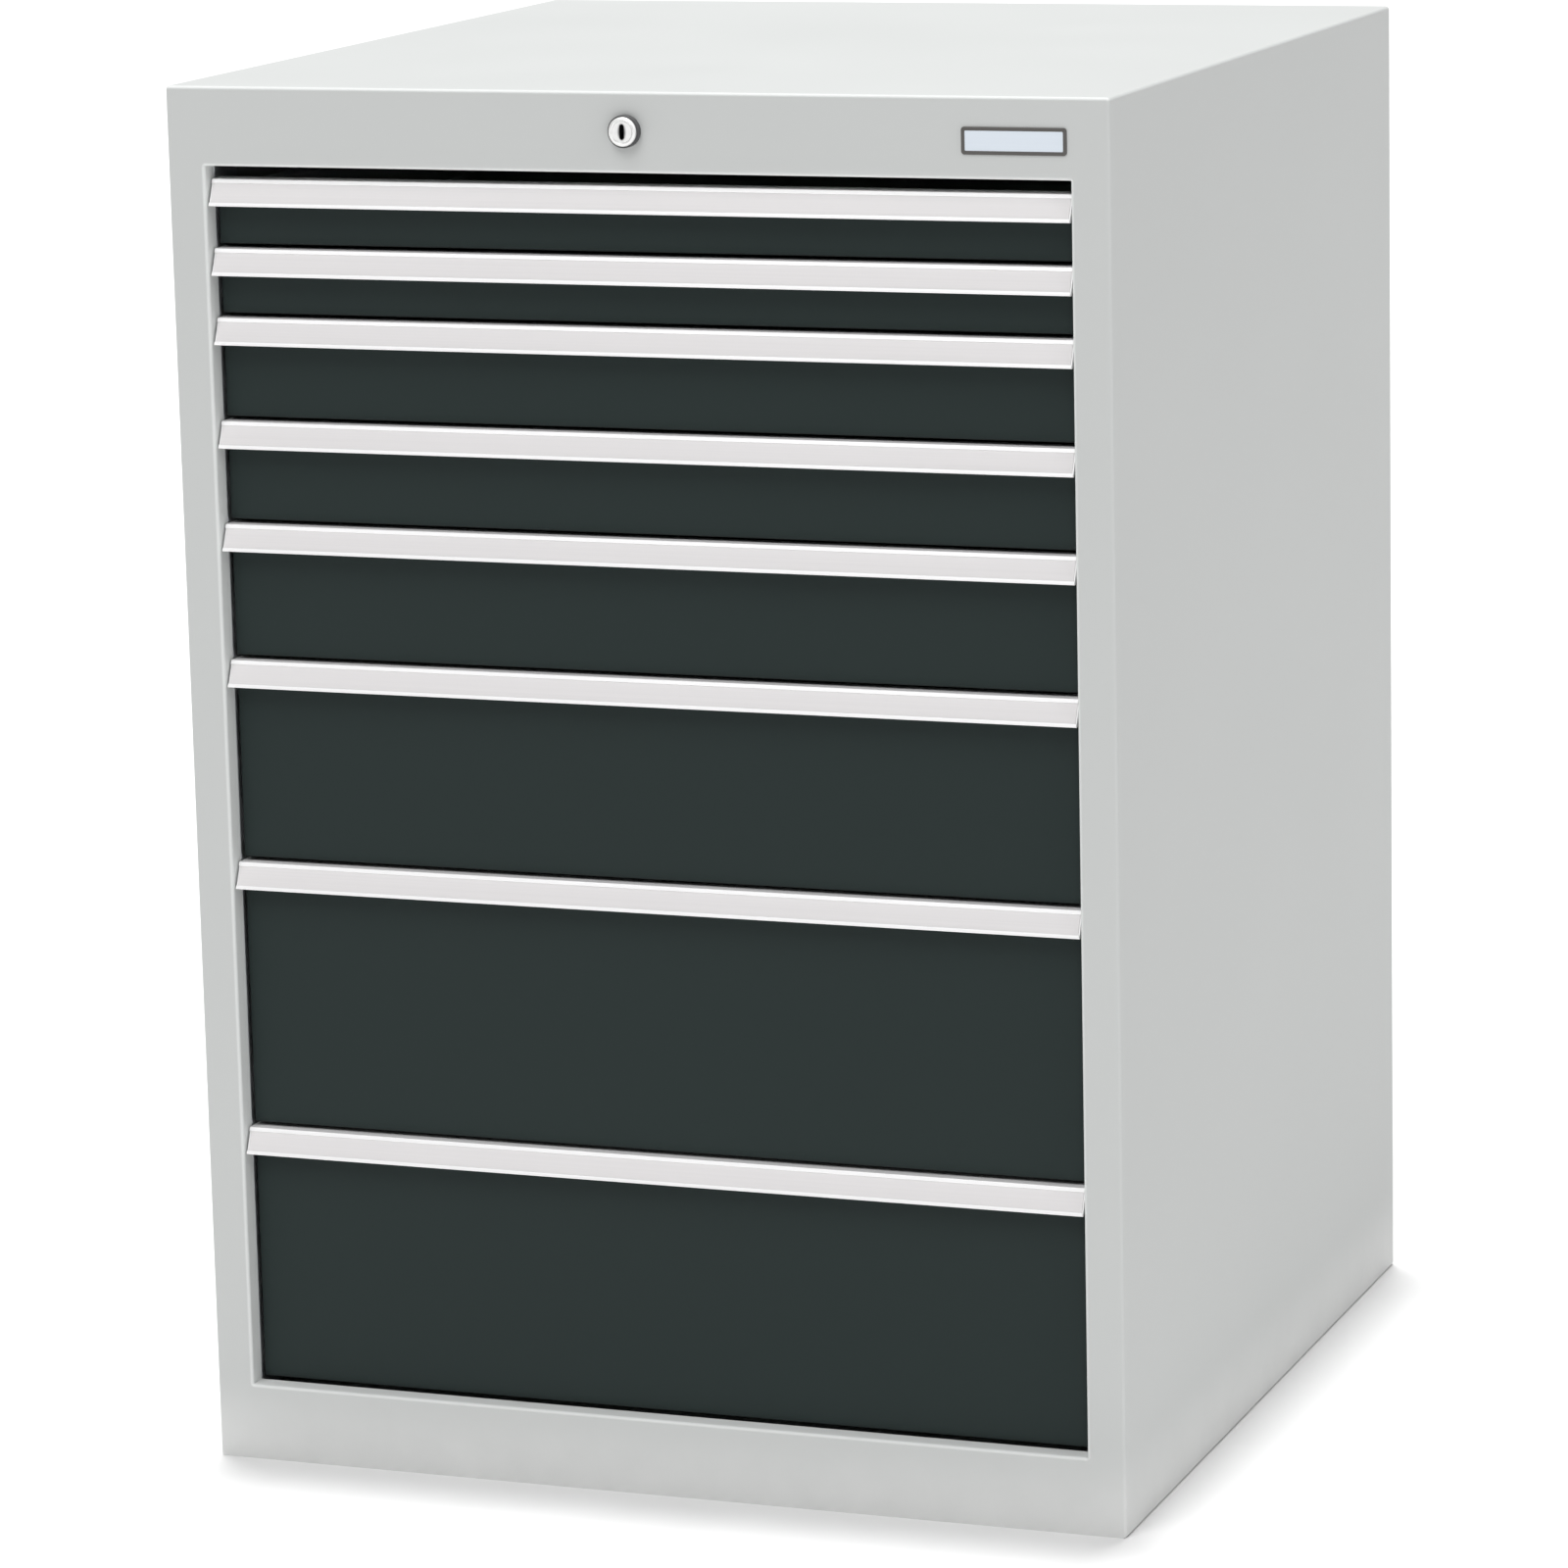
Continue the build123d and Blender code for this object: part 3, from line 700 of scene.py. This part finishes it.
def ring(low, high, radius, across=(), up=()):
    """Return the points (u, v) of a rectangle with rounded corners, clockwise from its top left
    corner.

    Each corner is a quarter circle whose centre lies one radius inwards from both sides. across
    are the u places of extra points on the top and bottom side, and up the v places on the left
    and right side."""
    (left, bottom), (right, top) = low, high
    turn = np.linspace(0, pi / 2, arc_steps + 1)
    arc = np.stack([-np.cos(turn), np.sin(turn)], axis=-1) * radius
    across, up = np.asarray(across, float), np.asarray(up, float)
    return np.concatenate([
        arc + (left + radius, top - radius),
        np.stack([across, np.full(across.shape, top)], axis=-1),
        arc[::-1] * (-1, 1) + (right - radius, top - radius),
        np.stack([np.full(up.shape, right), up[::-1]], axis=-1),
        arc * (-1, -1) + (right - radius, bottom + radius),
        np.stack([across[::-1], np.full(across.shape, bottom)], axis=-1),
        arc[::-1] * (1, -1) + (left + radius, bottom + radius),
        np.stack([np.full(up.shape, left), up], axis=-1),
    ])


def side_columns(across, up):
    """Return, for the top, right, bottom and left side of a ring, the columns of faces along that
    side."""
    columns, place = [], arc_steps
    for count in 2 * (len(across) + 1, len(up) + 1):
        columns.append(np.arange(place, place + count))
        place += count + arc_steps
    return columns


def facing_front(points, depth):
    """Turn ring points (u, v) into (x, y, z) = (u, depth, v)."""
    return np.column_stack([points[:, 0], np.full(len(points), depth), points[:, 1]])


print("a plain ring has", len(ring((0, 0), (10, 10), 1.0)), "points")

# %% Sizes taken from the solids
side_low, side_high = solid_box("right_side_panel")
fascia_low, fascia_high = solid_box("lock_fascia")
plinth_high = solid_box("plinth")[1]
lock_low, lock_high = solid_box("lock_cylinder")
half_width, half_opening = side_high[0], fascia_high[0]
front_y, back_y, return_y = side_low[1], side_high[1], plinth_high[1]
opening_low, opening_high = plinth_high[2], fascia_low[2]
cabinet_top = solid_box("top_panel")[1][2]
lock_x, lock_z = (lock_low[0] + lock_high[0]) / 2, (lock_low[2] + lock_high[2]) / 2
print("opening", (2 * half_opening).round(1), "by", (opening_high - opening_low).round(1), "mm")

# %% The housing's skin
sheet, fold, rear_flange, foot_inset = 1.5, 2.5, 20.0, 3.0
inner_corner, outer_corner = 0.8, 0.2
lock_cell = 22.0
marks = [-half_opening + foot_inset, lock_x - lock_cell, lock_x + lock_cell,
         half_opening - foot_inset]
turn = np.linspace(0, pi / 2, 6)
grown, behind, fold_highlight = fold * (1 - np.cos(turn)), fold * (1 - np.sin(turn)), np.sin(2 * turn)

# Each ring is (half width, low, high, radius of its corners, y, share of painted light on it): a
# painted highlight on the folds and painted light on the opening's inner return. Seen from the
# front, the outer fold shows a third of the light line that the inner one shows.
rings = [(half_opening, opening_low, opening_high, inner_corner, return_y, 1.0)]
rings += [(half_opening + g, opening_low - g, opening_high + g, inner_corner + g, front_y + b, f)
          for g, b, f in zip(grown, behind, np.maximum(fold_highlight, np.cos(turn)))]
rings += [(half_width - g, 0.0, cabinet_top - g, outer_corner + fold - g, front_y + b, f)
          for g, b, f in zip(grown[::-1], behind[::-1], fold_highlight / 3)]
rings += [(half_width, 0.0, cabinet_top, outer_corner + fold, return_y, 0.0)]
rings += [(half_width - g, g, cabinet_top - g, outer_corner + fold - g, back_y - b, f)
          for g, b, f in zip(grown, behind, fold_highlight)]
rings += [(half_width - rear_flange, rear_flange, cabinet_top - rear_flange, inner_corner, back_y,
           0.0)]
skin = np.array([facing_front(ring((-w, low), (w, high), r, marks), y)
                 for w, low, high, r, y, f in rings])
columns = skin.shape[1]
skin_faces = grid_faces(len(rings), columns, closed=True).reshape(len(rings) - 1, columns, 4)
print("rings", len(rings), "of", columns, "points")

# %% Open the bottom behind the plinth, and cut the hole for the lock
hole_radius, quarter = 9.7, 12
rim_steps = 4 * quarter
top_side, _, bottom_side, _ = side_columns(marks, ())
front_row, first_side_row = len(turn), 2 * len(turn) + 1
keep = np.ones(skin_faces.shape[:2], bool)
keep[first_side_row:, bottom_side[1:-1]] = False
keep[front_row, top_side[2]] = False

rim_turn = -3 * pi / 4 + np.arange(rim_steps) * 2 * pi / rim_steps
rim = np.column_stack([lock_x + hole_radius * np.cos(rim_turn), np.full(rim_steps, front_y),
                       lock_z + hole_radius * np.sin(rim_turn)])
skin_points = skin.reshape(-1, 3)
cell = skin_faces[front_row, top_side[2]]
round_lock = []
for k in range(4):
    quarter_rim = np.arange(quarter * (k + 1), quarter * k - 1, -1) % rim_steps
    round_lock.append([cell[k], cell[(k + 1) % 4], *(len(skin_points) + quarter_rim)])
housing_shell = make_piece(
    "housing_shell", "housing", np.concatenate([skin_points, rim]),
    list(skin_faces[keep]) + round_lock, [housing_grey],
    replaces=["left_side_panel", "right_side_panel", "top_panel", "lock_fascia", "plinth"],
)
print("outer faces", len(housing_shell.data.polygons))

# %% Where the painted highlight and light lie
side_light_share = 0.3
fold_light_shares = np.repeat([entry[-1] for entry in rings], columns)
at_side = np.abs(skin_points[:, 0]) > half_width - 2 * fold
at_side &= skin_points[:, 2] < cabinet_top - fold
fold_light_shares[at_side] *= side_light_share
fold_light_shares = np.concatenate([fold_light_shares, np.zeros(rim_steps)])
# The attribute tells the housing's finish where to paint the highlight and the light.
fold_light_marks = housing_shell.data.attributes.new("fold", "FLOAT", "POINT")
fold_light_marks.data.foreach_set("value", fold_light_shares.astype(np.float32))
give_wall(housing_shell, sheet)
print("housing faces", len(housing_shell.data.polygons))

# %% [markdown]
# ## The handle strips
#
# A handle is one aluminium profile as wide as the drawer: a slanted plate that fingers reach
# behind, a flange that lies on the drawer's front, and two small lips that hold a label strip. A
# profile pressed through a die has the same section everywhere, so its outline is drawn once,
# with small arcs at its noses, and carried along the width. The lips overlap the channel a
# little, as they must to hold a card.

# %% Sections carried along X


def signed_area(outline):
    """Return twice the area inside a closed outline, below zero where it runs clockwise: the sum of
    u * (next v) - (next u) * v over its points."""
    u, v = outline.T
    return np.sum(u * np.roll(v, -1) - np.roll(u, -1) * v)


def carried(outline, ends, closed=True):
    """Carry an outline of points (y, z) from one x place to the next: row i of the grid is the
    whole outline at ends[i]. A closed outline gets a flat face at both ends."""
    outline = np.asarray(outline, float)
    if closed and signed_area(outline) < 0:
        outline = outline[::-1]
    rows = [np.column_stack([np.full(len(outline), x), outline]) for x in ends]
    faces = list(grid_faces(len(ends), len(outline), closed)[:, ::-1])
    if closed:
        last = (len(ends) - 1) * len(outline)
        faces += [np.arange(len(outline))[::-1], last + np.arange(len(outline))]
    return np.concatenate(rows), faces


# %% The handle's section
handle_height, foot_recess, head_recess = 19.0, 1.0, 9.0
plate_wall, flange_wall = 3.0, 2.0
lip_height, lip_wall, channel_depth, lip_cover = 3.0, 0.5, 1.0, 0.7
front_back_y = solid_box("drawer_1_front")[1][1]


def plate_line(top):
    """Return the foot of a handle's slanted face, its unit steps upwards along the face and
    inwards, and the face's length."""
    foot = np.array([front_y + foot_recess, top - handle_height])
    up = np.array([head_recess - foot_recess, handle_height])
    length = np.linalg.norm(up)
    up = up / length
    return foot, up, np.array([up[1], -up[0]]), length


def handle_outline(top):
    """Return a handle's section (y, z). Points on the plate are given as (along its face, behind
    it)."""
    foot, up, inward, length = plate_line(top)
    rise = -plate_wall * inward[1] / up[1]
    lip_end = lip_height - lip_cover
    on_plate = [
        (0.0, 0.0), (lip_height, 0.0), (lip_height, lip_wall), (lip_end, lip_wall),
        (lip_end, channel_depth), (length - lip_end, channel_depth), (length - lip_end, lip_wall),
        (length - lip_height, lip_wall), (length - lip_height, 0.0), (length, 0.0),
    ]
    corners = [foot + along * up + deep * inward for along, deep in on_plate]
    corners += [(front_back_y, top), (front_back_y, top - flange_wall)]
    corners += [foot + (rise + (handle_height - flange_wall) / up[1]) * up + plate_wall * inward,
                foot + rise * up + plate_wall * inward]
    nose, lip, tip, groove, end, throat = 0.8, 0.2, 0.12, 0.1, 0.3, 1.2
    radii = [nose, lip, tip, *4 * [groove], tip, lip, nose, end, end, throat, nose]
    return closed_path(corners, radii)


print("handle outline of", len(handle_outline(0.0)), "points")

# %% Handles and their label strips
end_bevel = 0.25
strip_depth, strip_bow, strip_wall = 0.56, 0.25, 0.35
strip_play, strip_inset = 0.1, 1.0
handle_half = solid_box("drawer_1_handle")[1][0]
strip_half = handle_half - strip_inset
for n in drawers:
    top = solid_box(f"drawer_{n}_handle")[1][2]
    points, faces = carried(handle_outline(top), [-handle_half, handle_half])
    handle = make_piece(f"handle_{n}", f"drawer_{n}", points, faces, [handle_aluminium],
                        replaces=[f"drawer_{n}_handle"], smooth=25.0)
    ends = handle.modifiers.new("ends", "BEVEL")
    ends.width, ends.segments, ends.angle_limit = end_bevel * mm, 2, radians(80)
    handle.modifiers.move(1, 0)  # the shading is levelled after the bevel

    foot, up, inward, length = plate_line(top)
    strip_end = lip_height - lip_cover + strip_play
    along = np.linspace(strip_end, length - strip_end, 9)
    middle = 2 * (along - along[0]) / (along[-1] - along[0]) - 1
    deep = strip_depth - strip_bow * (1 - middle**2)
    face = foot + along[:, None] * up + deep[:, None] * inward
    back = foot + along[::-1, None] * up + (deep[::-1, None] + strip_wall) * inward
    points, faces = carried(np.vstack([face, back]), [-strip_half, strip_half])
    make_piece(f"label_strip_{n}", f"drawer_{n}", points, faces, [label_card])
print("handles", len(drawers), "and as many label strips")

# %% [markdown]
# ## The drawer trays
#
# A tray is folded from one sheet. Its walls have rows of slots, into which dividers hook, and
# their upper edge is rolled over to the inside, so that nobody cuts a hand. The tray is again a
# set of rings, this time lying flat: they start at the floor, turn up round the bottom fold, climb
# the wall and roll over. Where a slot belongs, the grid has a line on each side of it and the
# faces between are left out. That makes real openings, and a Boolean would need hundreds of
# cutters for the same.

# %% The surface of a tray
tray_sheet, tray_fold, roll, hem = 1.2, 2.0, 1.5, 8.0
tray_corner, least_corner = 3.2, 0.2
slot_pitch, slot_width, slot_height = 25.0, 3.0, 12.0
slots_each_way, plain_height = 11, 24.0


def slot_edges(middle):
    """Return the two edges of each slot of a row that is centred on the middle of a wall."""
    centres = middle + slot_pitch * np.arange(-slots_each_way, slots_each_way + 1)
    return (centres[:, None] + np.array([-slot_width / 2, slot_width / 2])).ravel()


def lying_flat(points, height):
    """Turn ring points (u, v) into (x, y, z) = (u, v, height)."""
    return np.column_stack([points, np.full(len(points), height)])


def tray_profile(low_z, high_z):
    """Return the insets and heights of a tray's rings and the number of its rows of slots. The fold
    at the bottom and the roll at the top are arcs: inset = radius * (1 - sine or cosine)."""
    rows = int((high_z - low_z - plain_height + slot_pitch - slot_height) // slot_pitch)
    levels = (low_z + high_z - slot_pitch * (rows - 1)) / 2 + slot_pitch * np.arange(rows)
    levels = (levels[:, None] + np.array([-slot_height / 2, slot_height / 2])).ravel()
    bend, over = np.linspace(0, pi / 2, 4), np.linspace(0, pi, 7)
    insets = [tray_fold * (1 - np.sin(bend)), np.zeros(len(levels)), roll * (1 - np.cos(over)),
              [2 * roll]]
    heights = [low_z + tray_fold * (1 - np.cos(bend)), levels, high_z - roll + roll * np.sin(over),
               [high_z - hem]]
    return np.concatenate(insets), np.concatenate(heights), len(bend) + 2 * np.arange(rows)


def tray_surface(low, high):
    """Return the points and faces of a tray between two corners, and the number of its slots: the
    grid of its rings, less the faces of the slots, and one flat face for the floor."""
    across, up = slot_edges((low[0] + high[0]) / 2), slot_edges((low[1] + high[1]) / 2)
    insets, heights, slot_rows = tray_profile(low[2], high[2])
    rings = [
        lying_flat(ring((low[0] + i, low[1] + i), (high[0] - i, high[1] - i),
                        max(tray_corner - i, least_corner), across, up), h)
        for i, h in zip(insets, heights)
    ]
    columns = len(rings[0])
    faces = grid_faces(len(rings), columns, closed=True)[:, ::-1]
    faces = faces.reshape(len(rings) - 1, columns, 4)
    slots = np.concatenate([side[1::2] for side in side_columns(across, up)]) % columns
    keep = np.ones(faces.shape[:2], bool)
    keep[np.ix_(slot_rows, slots)] = False
    walls_and_floor = list(faces[keep]) + [np.arange(columns)]
    return np.concatenate(rings), walls_and_floor, len(slot_rows) * len(slots)


# %% Trays and their latch tabs
tab_reach, tab_foot, tab_head, tab_half, tab_sheet, tab_bend = 10.0, 4.0, 18.0, 12.0, 2.0, 2.5
bar_low, bar_high = solid_box("lock_bar")
tab_x = (bar_low[0] + bar_high[0]) / 2
for n in drawers:
    low, high = solid_box(f"drawer_{n}_tray")
    tab_back, high[1] = high[1], high[1] - tab_reach
    points, faces, slots = tray_surface(low, high)
    tray = make_piece(f"tray_{n}", f"drawer_{n}", points, faces, [tray_grey],
                      replaces=[f"drawer_{n}_tray"])
    give_wall(tray, tray_sheet)

    tab_line = rounded_path([(high[1], low[2] + tab_foot), (tab_back, low[2] + tab_foot),
                             (tab_back, low[2] + tab_head)], [tab_bend])
    points, faces = carried(tab_line, [tab_x - tab_half, tab_x + tab_half], closed=False)
    tab = make_piece(f"latch_tab_{n}", f"drawer_{n}", points, faces, [tray_grey])
    give_wall(tab, tab_sheet)
    print(f"tray {n}: {slots} slots, {len(tray.data.polygons)} faces")

# %% [markdown]
# ## The lock and the name plate
#
# The lock's front is turned on a lathe, so it is a profile spun round the lock's axis: a black
# collar on the paint, which also stands for painted shade round the disc, a bright disc with a
# rounded edge that stands out of it, and the mouth in which the key's cylinder sits. The threaded
# tail behind it belongs to the same profile. The plate beside it is a stack of rings again, from
# the sunk field over the raised border to the back. It stays blank: a name would tie the part to
# one maker.

# %% Turned rosette


def turned(profile, axis_x, axis_z, steps=72):
    """Spin a closed profile of points (radius, depth) round an axis along Y: the point at angle a
    lies at (x + radius * cos a, depth, z + radius * sin a)."""
    if signed_area(profile) < 0:
        profile = profile[::-1]
    angle = np.arange(steps) * 2 * pi / steps
    radius, depth = profile[:, :1], profile[:, 1:]
    points = np.stack([axis_x + radius * np.cos(angle), depth + 0 * angle,
                       axis_z + radius * np.sin(angle)], axis=-1)
    faces = grid_faces(len(profile) + 1, steps, closed=True) % (len(profile) * steps)
    return points.reshape(-1, 3), list(faces)


disc_inset, collar_top = 1.2, -5.5
mouth_radius, mouth_depth, bore_radius = 8.3, 0.7, 7.6
tail_radius, tail_end = 9.5, 24.0
rosette_low, rosette_high = solid_box("lock_housing")
rosette_radius, face_y = (rosette_high[0] - rosette_low[0]) / 2, rosette_low[1] - front_y
disc_radius = rosette_radius - disc_inset
rosette = closed_path(
    [(rosette_radius, 0.0), (rosette_radius, collar_top), (disc_radius, collar_top),
     (disc_radius, face_y), (mouth_radius, face_y), (bore_radius, face_y + mouth_depth),
     (bore_radius, tail_end), (tail_radius, tail_end), (tail_radius, 0.0)],
    [0.1, 0.6, 0.1, 2.0, 0.3, 0.1, 0.1, 0.5, 0.1], steps=5,
)
points, faces = turned(rosette + (0.0, front_y), lock_x, lock_z)
rosette_piece = make_piece("lock_rosette", "housing", points, faces, [lock_nickel, collar_black_shade],
                           replaces=["lock_housing"], smooth=40.0)
middles = points[np.array(faces)].mean(axis=1)
from_axis = np.hypot(middles[:, 0] - lock_x, middles[:, 2] - lock_z)
# The collar's faces get the black finish, which paints the shade on the flank.
on_shade_collar = (middles[:, 1] > front_y + collar_top - 0.1) & (from_axis > tail_radius)
rosette_piece.data.polygons.foreach_set("material_index", on_shade_collar.astype(np.int32))
print("rosette faces", len(faces), "of them on the collar", on_shade_collar.sum())

# %% Name plate
field_corner, corner_per_inset, least_plate_corner = 2.2, 0.6, 0.6
plate_low, plate_high = solid_box("name_plate")

# Each ring is (inset from the plate's outline, y behind the fascia's front face).
plate_rings = [(2.6, -0.7), (2.4, -0.75), (2.2, -1.0), (0.25, -1.0), (0.0, -0.8), (0.0, 0.0)]
stack = np.array([
    facing_front(ring((plate_low[0] + i, plate_low[2] + i), (plate_high[0] - i, plate_high[2] - i),
                      max(field_corner - corner_per_inset * i, least_plate_corner)), front_y + d)
    for i, d in plate_rings
])
columns = stack.shape[1]
faces = list(grid_faces(len(stack), columns, closed=True))
faces += [np.arange(columns)[::-1], (len(stack) - 1) * columns + np.arange(columns)]
plate = make_piece("name_plate_blank", "housing", stack.reshape(-1, 3), faces,
                   [plate_border, plate_field], replaces=["name_plate"])
plate.data.polygons[len(faces) - 2].material_index = 1
print("plate", (plate_high - plate_low).round(1))

# %% [markdown]
# ## Studio
#
# The photograph is a catalogue picture: a white floor without an edge, and soft light that is
# strongest from above. Lamps near the cabinet would light its top more than its foot, and the
# paint in the photograph is equally light all the way down, so the lamps here are suns: their
# light has one direction and one strength everywhere. The one overhead is narrow and leans a
# little, which makes the top the brightest side and leaves a thin shadow on the floor at the
# front and at the right. A wide one from the front draws the soft shade under each handle, a wide
# one from the right lights the side, and a weak white world fills the rest. The floor is so bright
# that it turns pure white, and throws light back on the fronts as a white studio floor does.

# %% Floor and world
bpy.context.scene.view_settings.view_transform = "Standard"
reach = 40.0
floor_mesh = bpy.data.meshes.new("studio_floor")
floor_mesh.from_pydata([(-reach, -reach, 0), (reach, -reach, 0), (reach, reach, 0),
                        (-reach, reach, 0)], [], [(0, 1, 2, 3)])
floor = bpy.data.objects.new("studio_floor", floor_mesh)
bpy.context.scene.collection.objects.link(floor)
floor_paper = bpy.data.materials.new("studio paper")
floor_paper.use_nodes = True
paper = shader_of(floor_paper).inputs
paper["Base Color"].default_value = (0.76, 0.76, 0.76, 1)
paper["Roughness"].default_value = 0.9
paper["Specular IOR Level"].default_value = 0.1
floor_mesh.materials.append(floor_paper)

world = bpy.data.worlds.new("studio")
bpy.context.scene.world = world
world.use_nodes = True
sky = world.node_tree.nodes["Background"].inputs
sky["Color"].default_value = (1.0, 1.0, 1.0, 1)
sky["Strength"].default_value = 0.2
print("floor", 2 * reach, "m wide, world strength", round(sky["Strength"].default_value, 2))

# %% Lamps


def far_lamp(name, shines_towards, strength, spread):
    """Hang a lamp so far away that its light is equally strong everywhere. Its spread, in degrees,
    is how wide it looks from the cabinet: a wider one makes softer shadows."""
    light = bpy.data.objects.new(name, bpy.data.lights.new(name, "SUN"))
    bpy.context.scene.collection.objects.link(light)
    light.data.energy = strength
    light.data.angle = radians(spread)
    light.matrix_world = Vector(shines_towards).to_track_quat("-Z", "Y").to_matrix().to_4x4()
    return light


far_lamp("overhead", (0.021, -0.056, -1.0), strength=3.0, spread=5.5)
far_lamp("front", (0.12, 0.56, -0.82), strength=1.57, spread=40.0)
far_lamp("right", (-0.85, 0.17, -0.5), strength=0.68, spread=40.0)
